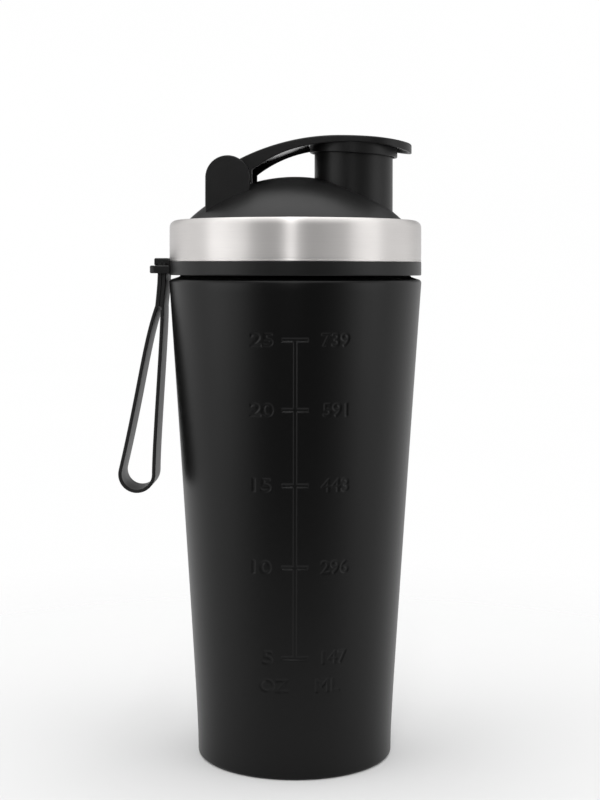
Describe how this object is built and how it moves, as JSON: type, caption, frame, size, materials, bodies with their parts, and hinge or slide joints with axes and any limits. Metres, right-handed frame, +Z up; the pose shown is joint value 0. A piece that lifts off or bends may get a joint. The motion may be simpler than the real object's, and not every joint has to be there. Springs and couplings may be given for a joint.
{
  "type": "protein shaker bottle",
  "caption": "Tapered steel shaker cup with a screw-on domed lid, drinking spout under a hinged flip cap, steel band and hanging carry strap.",
  "frame": {"origin": "centre of the cup's foot, on the surface that the bottle stands on", "axes": "+Z up along the cup's axis, +X towards the spout, -X towards the hinge and strap, -Y towards the volume scale"},
  "size_m": [0.1122, 0.094, 0.228],
  "materials": {
    "powder_coat": "fine matt black powder coat over stainless steel",
    "raw_steel": "bare satin stainless steel",
    "band_steel": "stainless steel brushed around the band",
    "lid_plastic": "black polypropylene with a fine spark-eroded grain",
    "seal_silicone": "soft dark silicone",
    "strap_silicone": "smooth black silicone with a soft sheen"
  },
  "bodies": {
    "cup": {"cup_body": "powder_coat", "cup_base": "raw_steel"},
    "gasket": {"lid_gasket": "seal_silicone"},
    "lid": {"lid_shell": "lid_plastic", "lid_band": "band_steel", "strap_collar": "lid_plastic", "mixing_grid": "lid_plastic", "strap_head": "strap_silicone"},
    "cap": {"flip_cap": "lid_plastic", "spout_seal": "seal_silicone"},
    "strap": {"strap_loop": "strap_silicone"}
  },
  "joints": [
    {"name": "lid_lift", "type": "slide", "parent": "cup", "child": "gasket", "axis": [0, 0, 1], "range_m": [0, 0.0201]},
    {"name": "lid_turn", "type": "hinge", "parent": "gasket", "child": "lid", "pos_m": [0, 0, 0.189], "axis": [0, 0, 1], "range_deg": [0, 1440]},
    {"name": "cap_flip", "type": "hinge", "parent": "lid", "child": "cap", "pos_m": [-0.024, 0, 0.2124], "axis": [0, -1, 0], "range_deg": [0, 170]},
    {"name": "strap_swing", "type": "hinge", "parent": "lid", "child": "strap", "pos_m": [-0.0491, 0, 0.1749], "axis": [0, 1, 0], "range_deg": [0, 90]}
  ],
  "couplings": [
    {"joint": "lid_lift", "follows": "lid_turn", "m_per_rad": 0.00079577}
  ]
}
